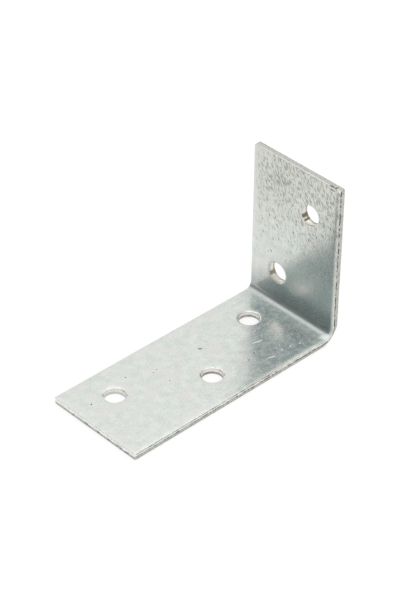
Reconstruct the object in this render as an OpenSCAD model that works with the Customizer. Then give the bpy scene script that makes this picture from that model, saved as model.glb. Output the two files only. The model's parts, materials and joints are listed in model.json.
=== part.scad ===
// Corner brace bracket: one strip of zinc-coated steel, punched with plain screw holes
// and folded once into a long leg and a shorter upright.
// Millimetres. The long leg lies on z = 0 along X, and the upright stands at +X.
// The origin is under the middle of the bracket's bounding box.

/* [Strip] */
// Thickness of the steel strip
sheet = 2; // [1.6:0.1:2.6]
// Width of the strip, from side edge to side edge
width = 32; // [28:1:44]

/* [Legs] */
// Long leg, from its free end to the back of the upright
leg_length = 75; // [70:1:100]
// Upright, from the seating face under the long leg to its top edge
upright_height = 50; // [46:1:80]

/* [Fold] */
// Radius inside the fold
fold_inside = 2; // [1.2:0.1:3]
// Radius outside the fold, wide because the strip thins where it is folded
fold_outside = 5; // [4:0.1:6]
// How far each side edge draws in where the outside of the fold is stretched
draw_in = 0.35; // [0.1:0.05:0.5]

/* [Screw holes] */
// Diameter of the smooth land of each punched hole
hole_d = 6; // [4:0.5:8]
// Distance between neighbouring holes, measured along a leg
hole_pitch = 25; // [20:0.5:27]
// Distance of each hole from the strip's centre line, to one side and the other in turn
hole_stagger = 5.7; // [3:0.1:9]
// Back of the upright to the first hole in the long leg
leg_first_hole = 12.7; // [10:0.1:16]
// Seating face to the first hole in the upright
upright_first_hole = 12.2; // [10:0.1:14]
// Number of holes in the long leg
leg_holes = 3; // [1:1:3]
// Number of holes in the upright
upright_holes = 2; // [1:1:2]

/* [Sheared edges] */
// Radius that shearing rolls onto each edge of the inner faces
edge_roll = 0.3; // [0.1:0.05:0.4]
// Depth of the rough break, from the outer faces up to the smooth land of each edge
break_depth = 1; // [0.4:0.1:1.1]
// How far the break leans back from that land at the outer faces
break_lean = 0.12; // [0.05:0.01:0.2]
// Rounding of the four corners where the strip was cut off
corner_r = 0.5; // [0.2:0.1:2]

/* [Hidden] */

// Facets of a full circle
$fn = 128;
// How far a cutter reaches past the face that it cuts
over = 1;

// Planes of the bracket: the free end of the long leg, the back and the inner face of
// the upright, and one side edge (the other is its mirror image)
free_end = -leg_length / 2;
back = leg_length / 2;
inner_face = back - sheet;
side = width / 2;

// The stretched outside of the fold and the middle of the strip there, each as its
// distance from the sharp outer corner along the corner's diagonal
diagonal = sqrt(2);
fold_skin = (diagonal - 1) * fold_outside;
fold_inner_skin = diagonal * (sheet + fold_inside) - fold_inside;
fold_core = (fold_skin + fold_inner_skin) / 2;

// The draw-in starts on the circle through that middle and through both ends of the
// outside radius. Its centre lies on the same diagonal
draw_centre = (fold_outside * fold_outside - fold_core * fold_core)
    / (diagonal * fold_outside - 2 * fold_core);
draw_radius = draw_centre - fold_core;
draw_slope = draw_in / (fold_core - fold_skin);

// What a rounding of radius r takes off a square corner at the origin whose sides look
// to +X and +Y, and what a fillet of that radius adds in such a corner
module round_off(r) {
    difference() {
        translate([-r, -r]) square(r + over);
        translate([-r, -r]) circle(r);
    }
}

// What the break takes off an edge at the origin, where the sheared side looks to +X
// and the outer face to +Y
module break_off() {
    slope = break_lean / break_depth;
    polygon([[0, -break_depth], [-break_lean - slope * over, over], [over, over],
        [over, -break_depth]]);
}

// The strip's middle section in X and Z, with the two radii of its fold
module strip_profile() {
    difference() {
        union() {
            translate([free_end, 0]) square([leg_length, sheet]);
            translate([inner_face, 0]) square([sheet, upright_height]);
            translate([inner_face, sheet]) mirror([0, 1]) round_off(fold_inside);
        }
        translate([back, 0]) mirror([0, 1]) round_off(fold_outside);
    }
}

// The folded strip, with every edge still square
module folded_strip() {
    translate([0, side, 0]) rotate([90, 0, 0]) linear_extrude(width) strip_profile();
}

// Turns a section a quarter turn round an axis along Y. The section's X is the radius,
// and the turn runs from up the strip's upright to along its long leg
module fold_turn() {
    rotate([-90, 0, 0]) rotate_extrude(angle = 90) children();
}

// Runs an edge section along one side edge: the long leg, the fold and the upright. The
// edge's face lies at z = level on the leg and at x = plane on the upright, and turns
// round the fold at the radius r
module along_side(plane, level, r) {
    turn_x = plane - r;
    turn_z = level + r;
    translate([free_end - over, side, level]) rotate([90, 0, 90])
        linear_extrude(turn_x - free_end + over) children();
    translate([turn_x, side, turn_z]) fold_turn() translate([r, 0]) rotate(90) children();
    translate([plane, side, turn_z]) rotate([0, 0, 90])
        linear_extrude(upright_height - turn_z + over) children();
}

// Runs an edge section across both cut-off ends: of the long leg and of the upright
module along_ends(plane, level) {
    translate([free_end, side + over, level]) rotate([90, 0, 0])
        linear_extrude(width + 2 * over) mirror([1, 0]) children();
    translate([plane, side + over, upright_height]) rotate([90, 0, 0])
        linear_extrude(width + 2 * over) rotate(90) children();
}

// Roll of the inner faces' edges and break of the outer faces' edges, all round
module sheared_edges() {
    for (hand = [0, 1]) mirror([0, hand, 0]) {
        along_side(inner_face, sheet, fold_inside) round_off(edge_roll);
        along_side(back, 0, fold_outside) mirror([0, 1]) break_off();
    }
    along_ends(inner_face, sheet) round_off(edge_roll);
    along_ends(back, 0) mirror([0, 1]) break_off();
}

// Crescent that the side edges lose round the outside of the fold
module fold_draw_in() {
    section = [[draw_radius, 0], [draw_radius, over], [draw_radius + fold_core, over],
        [draw_radius + fold_core, -draw_slope * fold_core]];
    axis = draw_centre / diagonal;
    for (hand = [0, 1]) mirror([0, hand, 0])
        translate([back - axis, side, axis]) fold_turn() polygon(section);
}

// Rounding of the long leg's two free corners and the upright's two top corners
module cut_corners() {
    for (hand = [0, 1]) mirror([0, hand, 0]) {
        translate([free_end, side, -over]) linear_extrude(sheet + 2 * over)
            mirror([1, 0]) round_off(corner_r);
        translate([inner_face - over, side, upright_height]) rotate([90, 0, 90])
            linear_extrude(sheet + 2 * over) round_off(corner_r);
    }
}

// A punched hole along Z, from the outer face at z = 0 to the inner face at z = sheet: a
// smooth land, a rolled rim where the punch went in and a wider break where it came out
module screw_hole() {
    translate([0, 0, -over]) cylinder(d = hole_d, h = sheet + 2 * over);
    rotate_extrude() {
        translate([hole_d / 2, sheet]) mirror([1, 0]) round_off(edge_roll);
        translate([hole_d / 2, 0]) rotate(180) break_off();
    }
}

// Both rows of holes, which step from side to side of the centre line from the fold on
module screw_holes() {
    for (i = [0:leg_holes - 1])
        translate([back - leg_first_hole - i * hole_pitch, stagger(i), 0]) screw_hole();
    for (i = [0:upright_holes - 1])
        translate([back, stagger(i), upright_first_hole + i * hole_pitch])
            rotate([0, -90, 0]) screw_hole();
}

// Offset of a row's hole number i from the centre line
function stagger(i) = i % 2 == 0 ? hole_stagger : -hole_stagger;

module bracket() {
    color("silver") difference() {
        folded_strip();
        sheared_edges();
        fold_draw_in();
        cut_corners();
        screw_holes();
    }
}

bracket();
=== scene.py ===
"""Corner brace bracket: the looks of one zinc-coated steel strip, punched, sheared and folded.

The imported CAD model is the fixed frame. The strip is meshed again round it, as the real one is
made: a flat blank with rolled and torn edges, then folded. Each surface gets its own finish.
"""

from __future__ import annotations

import json
import logging
import math
from dataclasses import dataclass, field
from enum import Enum
from functools import partial
from typing import Iterator, Union

import bpy
from mathutils import Matrix, Vector, noise
from mathutils.geometry import delaunay_2d_cdt


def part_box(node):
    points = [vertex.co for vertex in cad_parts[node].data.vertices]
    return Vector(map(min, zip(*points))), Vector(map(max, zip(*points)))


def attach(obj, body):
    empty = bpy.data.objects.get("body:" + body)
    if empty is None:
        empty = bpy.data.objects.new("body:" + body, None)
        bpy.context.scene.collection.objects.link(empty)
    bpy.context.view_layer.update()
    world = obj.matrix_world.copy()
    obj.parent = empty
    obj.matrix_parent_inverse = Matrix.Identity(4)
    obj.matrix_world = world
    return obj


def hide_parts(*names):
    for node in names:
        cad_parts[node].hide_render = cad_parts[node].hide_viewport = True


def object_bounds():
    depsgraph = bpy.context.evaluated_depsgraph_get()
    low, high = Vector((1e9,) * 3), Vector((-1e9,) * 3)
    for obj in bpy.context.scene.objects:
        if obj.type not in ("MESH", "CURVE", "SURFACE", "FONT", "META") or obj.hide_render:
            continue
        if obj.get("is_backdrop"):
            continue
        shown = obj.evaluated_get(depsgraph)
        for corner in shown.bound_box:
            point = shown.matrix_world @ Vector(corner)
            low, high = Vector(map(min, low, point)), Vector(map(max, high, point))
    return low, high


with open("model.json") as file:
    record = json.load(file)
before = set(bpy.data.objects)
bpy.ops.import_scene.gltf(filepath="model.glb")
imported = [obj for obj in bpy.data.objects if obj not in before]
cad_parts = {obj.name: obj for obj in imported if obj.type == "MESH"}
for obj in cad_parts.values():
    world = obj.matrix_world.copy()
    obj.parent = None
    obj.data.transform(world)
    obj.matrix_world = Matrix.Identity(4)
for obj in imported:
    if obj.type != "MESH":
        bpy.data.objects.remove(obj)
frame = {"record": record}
CAD_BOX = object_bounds()

MM = 0.001
LOG = logging.getLogger("corner_brace")
NODE = "bracket"
BODY = "root"

Node = bpy.types.Node
Socket = bpy.types.NodeSocket
Tree = bpy.types.NodeTree
Feed = Union[Node, Socket, float, str, tuple[float, ...]]
Inputs = Union[tuple[Feed, ...], dict[Union[int, str], Feed]]

# A place on the blank or a direction there: along it and across it.
Place = tuple[float, float]
# One ring of a sheared section: its distance in from the outline, its depth as a share of the
# sheet, and how torn or dirty the steel is.
Ring = tuple[float, float, float]


# ---------------------------------------------------------------- small helpers


def linear(hex_colour: str) -> tuple[float, float, float, float]:
    """Turns an sRGB hex colour into a linear one with full alpha.

    Args:
        hex_colour: Six hex digits after a hash sign.

    Returns:
        Linear red, green and blue, and 1.0.
    """
    channels = [int(hex_colour[i : i + 2], 16) / 255 for i in (1, 3, 5)]
    return (
        *(c / 12.92 if c <= 0.04045 else ((c + 0.055) / 1.055) ** 2.4 for c in channels),
        1.0,
    )


def blend(value: float, start: float, full: float) -> float:
    """How far a value has gone from a start to where it is full, from 0 to 1."""
    return min(1.0, max(0.0, (value - start) / (full - start)))


def wander(u: float, y: float, size: float, seed: float) -> float:
    """Smooth noise between about -1 and 1 over the blank, in patches of the given size."""
    return noise.noise(Vector((u / size, y / size, seed)))


def add_node(tree: Tree, kind: str, inputs: Inputs = (), **settings: object) -> Node:
    """Adds a node with its settings and links.

    Args:
        tree: The node tree.
        kind: The node's type without its ShaderNode prefix.
        inputs: What goes into the node, in the order of its inputs or by their names or
            numbers: a socket, a node, which stands for its first output, or a plain value. An
            sRGB hex colour is a value too.
        **settings: Attributes of the node by name.

    Returns:
        The node.
    """
    node = tree.nodes.new("ShaderNode" + kind)
    for name, value in settings.items():
        setattr(node, name, value)
    for key, feed in (inputs if isinstance(inputs, dict) else dict(enumerate(inputs))).items():
        if isinstance(feed, Node):
            feed = next(output for output in feed.outputs if output.enabled)
        if isinstance(feed, Socket):
            tree.links.new(feed, node.inputs[key])
        else:
            node.inputs[key].default_value = linear(feed) if isinstance(feed, str) else feed
    return node


def new_material(name: str) -> tuple[bpy.types.Material, Tree]:
    """Makes a material whose node tree is still empty.

    Args:
        name: The material's name.

    Returns:
        The material and its node tree.
    """
    material = bpy.data.materials.new(name)
    material.use_nodes = True
    material.node_tree.nodes.clear()
    return material, material.node_tree


# ---------------------------------------------------------------- the strip's form


class Zone(Enum):
    """Surfaces of the strip that are finished in their own way, as material slot numbers."""

    FACE = 0
    LAND = 1
    BREAK = 2
    HOLE_LAND = 3
    HOLE_BREAK = 4


@dataclass(frozen=True)
class Hole:
    """One punched hole on the blank.

    Attributes:
        u: Distance of its centre from the free end along the blank, in metres.
        y: Distance of its centre from the centre line.
        r: Radius of its smooth land.
    """

    u: float
    y: float
    r: float

    def distance(self, u: float, y: float) -> float:
        """Distance from the hole's wall into the steel."""
        return math.hypot(u - self.u, y - self.y) - self.r


@dataclass(frozen=True)
class FoldedStrip:
    """The strip's form: a flat blank and how it folds. All sizes are in metres.

    A place on the blank is u along it from the free end, y across it, and a depth of 0 on the
    inner faces to 1 on the outer faces.

    Attributes:
        leg: Long leg, from its free end to the back of the upright.
        upright: Upright, from the seating face under the long leg to its top.
        width: Width of the strip.
        sheet: Its thickness.
        fold_inside: Radius inside the fold.
        fold_outside: Radius outside it.
        draw_in: How far the side edges draw in where the outside is stretched.
        run_in: Length on each side of the fold over which the two faces' lengths even out.
        corner: Rounding of the four corners.
        end_blend: How far round a corner its two edges blend into each other.
    """

    leg: float
    upright: float
    width: float
    sheet: float = 2.0 * MM
    fold_inside: float = 2.0 * MM
    fold_outside: float = 5.0 * MM
    draw_in: float = 0.35 * MM
    run_in: float = 1.5 * MM
    corner: float = 0.5 * MM
    end_blend: float = 1.0 * MM

    @property
    def flat_leg(self) -> float:
        """Length of the long leg that the fold leaves flat."""
        return self.leg - self.fold_outside - self.run_in

    @property
    def flat_upright(self) -> float:
        """Length of the upright that the fold leaves flat."""
        return self.upright - self.fold_outside - self.run_in

    @property
    def fold_length(self) -> float:
        """Length of the fold on the blank: the mean of its two faces."""
        faces = ((self.fold_inside, self.sheet), (self.fold_outside, 0.0))
        return sum(self._path(*face)[2] for face in faces) / 2

    @property
    def length(self) -> float:
        """Length of the whole blank."""
        return self.flat_leg + self.fold_length + self.flat_upright

    def _path(self, radius: float, inset: float) -> tuple[float, float, float]:
        """Measures the fold's path along a face.

        Args:
            radius: Radius of the fold on that face.
            inset: How far the face lies in from the outer faces.

        Returns:
            Length of each straight part, of the arc and of the whole path.
        """
        straight = self.fold_outside + self.run_in - inset - radius
        arc = math.pi / 2 * radius
        return straight, arc, 2 * straight + arc

    def _on_face(self, u: float, radius: float, inset: float) -> tuple[float, float]:
        """Finds a place of the blank on one of the strip's faces.

        Args:
            u: Distance from the free end along the blank.
            radius: Radius of the fold on that face.
            inset: How far the face lies in from the outer faces.

        Returns:
            The place's X and Z.
        """
        back = self.leg / 2
        if u <= self.flat_leg:
            return u - back, inset
        beyond = u - self.flat_leg - self.fold_length
        if beyond >= 0:
            return back - inset, self.fold_outside + self.run_in + beyond
        straight, arc, whole = self._path(radius, inset)
        run = (u - self.flat_leg) / self.fold_length * whole
        axis_x, axis_z = back - inset - radius, inset + radius
        if run < straight:
            return axis_x - straight + run, inset
        if run > straight + arc:
            return back - inset, axis_z + run - straight - arc
        turn = (run - straight) / radius
        return axis_x + radius * math.sin(turn), axis_z - radius * math.cos(turn)

    def _draw_in_at(self, x: float, z: float) -> float:
        """Measures the draw-in of the side edges, a crescent on the outside of the fold.

        Args:
            x: X of the place.
            z: Z of the place.

        Returns:
            How far a side edge draws in there.
        """
        diagonal = math.sqrt(2)
        skin = (diagonal - 1) * self.fold_outside
        inner = diagonal * (self.sheet + self.fold_inside) - self.fold_inside
        core = (skin + inner) / 2
        centre = (self.fold_outside**2 - core**2) / (diagonal * self.fold_outside - 2 * core)
        across, up = x - self.leg / 2 + centre / diagonal, z - centre / diagonal
        if across < 0 or up > 0:
            return 0.0
        beyond = math.hypot(across, up) - centre + core
        return max(0.0, beyond) * self.draw_in / (core - skin)

    def place(self, u: float, y: float, depth: float) -> Vector:
        """Folds one place of the blank.

        Args:
            u: Distance from the free end along the blank.
            y: Distance from the centre line.
            depth: 0 on the inner faces to 1 on the outer faces.

        Returns:
            The place in the row frame.
        """
        inner_x, inner_z = self._on_face(u, self.fold_inside, self.sheet)
        outer_x, outer_z = self._on_face(u, self.fold_outside, 0.0)
        x = inner_x + (outer_x - inner_x) * depth
        z = inner_z + (outer_z - inner_z) * depth
        near_edge = (abs(y) / (self.width / 2)) ** 4
        return Vector((x, y - math.copysign(self._draw_in_at(x, z) * near_edge, y), z))

    def on_blank(self, x: float, z: float) -> float:
        """Distance along the blank of a place on one of the flat legs."""
        return x + self.leg / 2 if z <= self.sheet else self.length - (self.upright - z)

    def end_share(self, u: float, y: float) -> float:
        """How far the nearest edge is one that runs across the strip: 0 to 1, blended."""
        to_end = self.length / 2 - abs(u - self.length / 2)
        return blend(self.width / 2 - abs(y) - to_end, -self.end_blend, self.end_blend)

    def distance(self, u: float, y: float) -> float:
        """Measures how far a place lies in from the blank's outline.

        Args:
            u: Distance from the free end along the blank.
            y: Distance from the centre line.

        Returns:
            The distance into the steel.
        """
        along = abs(u - self.length / 2) - self.length / 2 + self.corner
        across = abs(y) - self.width / 2 + self.corner
        outside = math.hypot(max(along, 0.0), max(across, 0.0))
        return self.corner - outside - min(max(along, across), 0.0)


@dataclass(frozen=True)
class Roll:
    """How a face falls towards an edge that the blade drew down.

    Attributes:
        depth: How far the face has fallen at the edge.
        width: How far from the edge it starts to fall.
        power: How much the fall steepens towards the edge: 1 is an even slope.
    """

    depth: float
    width: float
    power: float = 2.0

    def fall(self, distance: float) -> float:
        """How far the face has fallen at a distance from the edge."""
        return self.depth * max(0.0, 1 - distance / self.width) ** self.power


@dataclass(frozen=True)
class ShearedEdge:
    """Section of a sheared or punched edge, from the inner faces to the outer ones.

    The blade draws the inner face down towards the edge, cuts a smooth land and then tears the
    rest of the sheet, which steps back and is rough.

    Attributes:
        sheet: Thickness of the sheet.
        leg_roll: Roll of the long leg's edges.
        upright_roll: Roll of the upright's edges, into which that one blends.
        tail: A wider and shallower fall that adds to both.
        uneven: Share by which the roll strays from its mean.
        blend_from: Place along the blank where the long leg's roll starts to blend.
        blend_full: Place where the upright's roll is full.
        far_from: Distance towards +Y where the edge starts to be like the far side's.
        far_full: Distance towards +Y where it is like it.
        far_roll: Share of the roll that the side edge at +Y has, where the blade was sharper.
        end_roll: Share of the roll that the edges across the strip have.
        nose: Radius of the turn from the face to the land.
        break_depth: Height of the torn part on the long leg's side edges.
        upright_break: Height of the torn part on the upright's side edges.
        free_break: Height of the torn part on the edge across the long leg's free end.
        top_break: Height of the torn part on the edge across the upright's top.
        step: How far the tear steps back from the land at once.
        lean: How far it leans back further down.
        risen_from: Place along the blank where the break's height starts to be the upright's.
        risen_full: Place where it is the upright's.
        straight_from: Place along the blank past which the break leans less and less.
        straight_full: Place past which it leans no more.
        top_clean: Share by which the top edge is cleaner and less round than the others.
        tear: Roughness of the torn part.
        tear_dirt: How dirty it is, from 0 to 1.
        line_wander: How far the line between the land and the tear strays up and down.
        line_waves: Length, share and seed of each of the waves in which it strays.
        line_height: Height of the dark crack along that line.
        crack: How dark that crack is, from 0 to 1.
        seam_dirt: How dirty the turn from the face to the land is, from 0 to 1.
        seam_height: How far that dirt reaches down the land.
        seam_wave: Length of the waves in which that reach changes.
        seam_wander: Share by which it changes.
        seam_gap: Clean steel that stays between that dirt and the crack.
        seam_rim: Width of the dirt's lower rim.
        fold_middle: Middle of the fold along the blank, where the folding tool took that dirt
            off.
        nose_steps: Number of bands round the nose.
        break_steps: Number of bands down the torn part.
    """

    sheet: float
    leg_roll: Roll = Roll(0.1 * MM, 0.95 * MM, 1.5)
    upright_roll: Roll = Roll(0.25 * MM, 1.15 * MM)
    tail: Roll = Roll(0.11 * MM, 3.2 * MM, 3.0)
    uneven: float = 0.12
    blend_from: float = 42.0 * MM
    blend_full: float = 57.0 * MM
    far_from: float = 11.0 * MM
    far_full: float = 15.5 * MM
    far_roll: float = 0.6
    end_roll: float = 0.4
    nose: float = 0.08 * MM
    break_depth: float = 1.25 * MM
    upright_break: float = 1.5 * MM
    free_break: float = 0.85 * MM
    top_break: float = 1.4 * MM
    step: float = 0.03 * MM
    lean: float = 0.06 * MM
    risen_from: float = 72.0 * MM
    risen_full: float = 80.0 * MM
    straight_from: float = 88.0 * MM
    straight_full: float = 100.0 * MM
    top_clean: float = 0.6
    tear: float = 0.04 * MM
    tear_dirt: float = 0.15
    line_wander: float = 0.2 * MM
    line_waves: tuple[tuple[float, float, float], ...] = (
        (2.6 * MM, 1.0, 7.0), (0.8 * MM, 0.5, 9.0))
    line_height: float = 0.36 * MM
    crack: float = 0.9
    seam_dirt: float = 0.96
    seam_height: float = 0.1 * MM
    seam_wave: float = 1.3 * MM
    seam_wander: float = 1.3
    seam_gap: float = 0.06 * MM
    seam_rim: float = 0.02 * MM
    fold_middle: float = 81.0 * MM
    nose_steps: int = 4
    break_steps: int = 6

    @property
    def foot(self) -> float:
        """How far in from the outline the outer face begins."""
        return self.step + self.lean

    @property
    def bands(self) -> list[int]:
        """For each band between two rings: 0 on the nose, 1 on the land and 2 on the break."""
        return [0] * self.nose_steps + [1] * 3 + [2] * (self.break_steps + 3)

    def rise(self, u: float) -> float:
        """How far the edge is like the upright's rather than the long leg's: 0 to 1."""
        return blend(u, self.blend_from, self.blend_full)

    def risen(self, u: float) -> float:
        """How far the break is like the upright's, which comes later: 0 to 1."""
        return blend(u, self.risen_from, self.risen_full)

    def far(self, y: float) -> float:
        """How far a place lies towards the side edge at +Y: 0 to 1."""
        return blend(y, self.far_from, self.far_full)

    def sink(self, distance: float, u: float, y: float, end: float) -> float:
        """Measures how far the inner face has fallen.

        Args:
            distance: Distance of the place from the outline.
            u: Distance from the free end along the blank.
            y: Distance from the centre line.
            end: How far the edge is one that runs across the strip, from 0 to 1.

        Returns:
            The fall from the flat face.
        """
        fall = self.tail.fall(distance)
        if fall <= 0:
            return 0.0
        rise = self.rise(u)
        fall += self.leg_roll.fall(distance) * (1 - rise)
        fall += self.upright_roll.fall(distance) * rise
        side = 1 - (1 - self.far_roll) * self.far(y)
        strayed = 1 + self.uneven * wander(u, y, 5 * MM, seed=3.0)
        return fall * strayed * (side + (self.end_roll - side) * end)

    def _dirt(self, u: float, y: float, top_edge: bool, end: float) -> float:
        """Tells how dirty the turn from the face to the land is.

        Args:
            u: Distance from the free end along the blank.
            y: Distance from the centre line.
            top_edge: Whether the edge looks towards the upright's top.
            end: How far the edge is one that runs across the strip, from 0 to 1.

        Returns:
            The dirt, from 0 to 1.
        """
        fold = blend(abs(u - self.fold_middle), 12 * MM, 4 * MM)
        rubbed_off = (
            (1.0 if top_edge else 0.5, end),  # all of it on the top edge, half on the free end
            (0.3, self.rise(u)),  # some of it along the long leg, from its middle on
            (0.22, self.risen(u)),  # more of it along the upright
            (0.5, self.far(y)),  # half of it on the far side edge
            (0.3, fold),  # some of it where the folding tool pressed
        )
        return self.seam_dirt * math.prod(1 - share * where for share, where in rubbed_off)

    def section(self, place: Place, outward: Place, end: float) -> list[Ring]:
        """Gives the section at one place of an outline.

        Args:
            place: Distances along the blank and from its centre line.
            outward: Direction out of the steel there.
            end: How far the edge is one that runs across the strip, from 0 to 1.

        Returns:
            Its rings, from the inner faces to the outer ones.
        """
        u, y = place
        top_edge = outward[0] > 0
        fallen = self.sink(self.nose, u, y, end)
        dirt = self._dirt(u, y, top_edge, end)
        cleaner = self.top_clean * end if top_edge else 0.0
        nose = self.nose * (1 - cleaner)
        rings = []
        for i in range(self.nose_steps + 1):
            turn = math.pi / 2 * i / self.nose_steps
            drop = fallen + nose * (1 - math.cos(turn))
            rings.append((nose * (1 - math.sin(turn)), drop, dirt))
        land = fallen + nose

        # The line where the land ends strays in long waves and in short ones. So does the lower
        # rim of the seam's dirt, which stays above it.
        across = self.top_break if top_edge else self.free_break
        along = self.break_depth + (self.upright_break - self.break_depth) * self.risen(u)
        line = self.sheet - along - (across - along) * outward[0] ** 2
        for size, share, seed in self.line_waves:
            line += share * self.line_wander * wander(u, y, size, seed)
        line = max(line, land + self.seam_height)
        reach = max(0.1, 1 + self.seam_wander * wander(u, y, self.seam_wave, seed=5.0))
        lip = min(land + self.seam_height * reach, line - self.seam_gap)
        back = blend(u, self.straight_full, self.straight_from)
        crack = self.crack - cleaner
        rings += [
            (0.0, lip, dirt),
            (0.0, lip + self.seam_rim, 0.0),
            (0.0, line - 0.12 * self.line_height, 0.0),
            (0.5 * self.step * back, line, crack),
            (self.step * back, line + self.line_height, crack),
        ]

        # The break below it leans back and bulges out here and there.
        start = line + 1.1 * self.line_height
        for i in range(self.break_steps + 1):
            share = i / self.break_steps
            depth = start + (self.sheet - start) * share
            rough = self.tear * wander(u + 0.4 * depth, y - 0.7 * depth, 0.5 * MM, seed=12.0)
            inset = (self.step + self.lean * share) * back
            inset += max(0.0, rough) * math.sin(math.pi * share)
            rings.append((inset, depth, self.tear_dirt))
        return [(inset, depth / self.sheet, torn) for inset, depth, torn in rings]


@dataclass
class Outline:
    """A closed outline on the blank.

    Attributes:
        points: Its points, each by its distances along the blank and from the centre line.
        outward: The direction out of the steel at each of them.
    """

    points: list[Place] = field(default_factory=list)
    outward: list[Place] = field(default_factory=list)

    def add(self, u: float, y: float, nu: float, ny: float) -> None:
        """Adds a point with its outward direction."""
        self.points.append((u, y))
        self.outward.append((nu, ny))

    def inset(self, distance: float) -> list[Place]:
        """Moves the outline into the steel.

        Args:
            distance: How far it moves.

        Returns:
            The moved points.
        """
        return [
            (u - nu * distance, y - ny * distance)
            for (u, y), (nu, ny) in zip(self.points, self.outward)
        ]


@dataclass
class StripMesher:
    """Meshes the folded strip: two faces, and a sheared section round each outline.

    Attributes:
        form: The strip's form.
        edge: Section of its outer edges.
        rim: Section of its hole rims.
        holes: Its punched holes.
        step: Spacing of points along the outlines.
        fold_step: Spacing of rows across the fold.
        face_step: Spacing of points over the flat faces.
        seam: Width of the even band that lies inside each outline.
        terraces: Distances from the outlines at which the inner faces have rows of points.
        grid_gap: How far the even grid of the inner faces keeps from the last of those rows.
        outer_gap: How far the grid of the outer faces keeps from the outlines.
        worn_width: How far in from the edges the inner faces show wear.
        hole_points: Number of points round a hole.
        corner_points: Number of steps round a corner.
        vertices: The places of the mesh's points.
        blank: Their places on the blank, with the depth from the inner faces.
        torn: How torn or dirty the steel is at each.
        faces: The mesh's faces, by the numbers of their points.
        zones: The zone of each face, by its number.
    """

    form: FoldedStrip
    edge: ShearedEdge
    rim: ShearedEdge
    holes: list[Hole]
    step: float = 0.3 * MM
    fold_step: float = 0.16 * MM
    face_step: float = 2.0 * MM
    seam: float = 0.12 * MM
    terraces: tuple[float, ...] = (
        0.4 * MM, 0.62 * MM, 0.9 * MM, 1.25 * MM, 1.65 * MM, 2.1 * MM, 2.55 * MM)
    grid_gap: float = 0.3 * MM
    outer_gap: float = 0.8 * MM
    worn_width: float = 0.5 * MM
    hole_points: int = 96
    corner_points: int = 6

    vertices: list[Vector] = field(default_factory=list)
    blank: list[tuple[float, float, float]] = field(default_factory=list)
    torn: list[float] = field(default_factory=list)
    faces: list[tuple[int, ...]] = field(default_factory=list)
    zones: list[int] = field(default_factory=list)

    def _vertex(self, u: float, y: float, depth: float, torn: float = 0.0) -> int:
        """Adds a point to the mesh.

        Args:
            u: Its distance from the free end along the blank.
            y: Its distance from the centre line.
            depth: 0 on the inner faces to 1 on the outer faces.
            torn: How torn or dirty the steel is there, from 0 to 1.

        Returns:
            The point's number.
        """
        self.vertices.append(self.form.place(u, y, depth))
        self.blank.append((u, y, depth * self.form.sheet))
        self.torn.append(torn)
        return len(self.vertices) - 1

    def _face_vertex(self, u: float, y: float, inner: bool) -> int:
        """Adds a point on the inner or the outer face and returns its number."""
        depth, torn = (self._sunk(u, y), self._worn(u, y)) if inner else (1.0, 0.0)
        return self._vertex(u, y, depth, torn)

    def _clearance(self, u: float, y: float) -> float:
        """Distance from the nearest outline into the steel."""
        return min([self.form.distance(u, y), *(h.distance(u, y) for h in self.holes)])

    def _sunk(self, u: float, y: float) -> float:
        """Measures how far the inner face has fallen towards the edges.

        Args:
            u: Distance from the free end along the blank.
            y: Distance from the centre line.

        Returns:
            The fall as a share of the sheet.
        """
        end = self.form.end_share(u, y)
        fall = self.edge.sink(self.form.distance(u, y), u, y, end)
        fall += sum(self.rim.sink(h.distance(u, y), u, y, end) for h in self.holes)
        return fall / self.form.sheet

    def _worn(self, u: float, y: float) -> float:
        """How much wear the inner face shows: most at its edges, fading inwards, from 0 to 1."""
        clean = self.form.end_share(u, y) if u > self.form.length / 2 else 0.0
        return 0.3 * (1 - clean) * blend(self._clearance(u, y), self.worn_width, 0.0)

    def _rows(self, start: float, end: float, coarse: float) -> list[float]:
        """Divides a part of the blank's length, finely across the fold and coarsely elsewhere.

        Args:
            start: Where the part starts.
            end: Where it ends, on the other side of the fold.
            coarse: Spacing away from the fold.

        Returns:
            Distances along the blank.
        """
        fold_from = self.form.flat_leg
        fold_to = fold_from + self.form.fold_length
        rows = []
        for low, high, step in (
            (start, fold_from, coarse),
            (fold_from, fold_to, self.fold_step),
            (fold_to, end, coarse),
        ):
            count = round((high - low) / step)
            rows += [low + (high - low) * i / count for i in range(count)]
        return [*rows, end]

    def _corner(self, outline: Outline, u: float, y: float, start: float) -> None:
        """Adds the inner points of a corner's quarter circle.

        Args:
            outline: The outline that gets them.
            u: The circle's centre along the blank.
            y: The centre's distance from the centre line.
            start: Angle of the quarter circle's start, in degrees.
        """
        for i in range(1, self.corner_points):
            turn = math.radians(start + 90 * i / self.corner_points)
            nu, ny = math.cos(turn), math.sin(turn)
            outline.add(u + self.form.corner * nu, y + self.form.corner * ny, nu, ny)

    def _perimeter(self) -> Outline:
        """Draws the blank's outline.

        Returns:
            The outline, anticlockwise seen from the inner faces.
        """
        outline = Outline()
        side, r, end = self.form.width / 2, self.form.corner, self.form.length
        stations = self._rows(r, end - r, self.step)
        count = round(2 * (side - r) / self.step)
        across = [-side + r + 2 * (side - r) * i / count for i in range(count + 1)]
        for u in stations:
            outline.add(u, -side, 0.0, -1.0)
        self._corner(outline, end - r, -side + r, -90)
        for y in across:
            outline.add(end, y, 1.0, 0.0)
        self._corner(outline, end - r, side - r, 0)
        for u in reversed(stations):
            outline.add(u, side, 0.0, 1.0)
        self._corner(outline, r, side - r, 90)
        for y in reversed(across):
            outline.add(0.0, y, -1.0, 0.0)
        self._corner(outline, r, -side + r, 180)
        return outline

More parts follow.
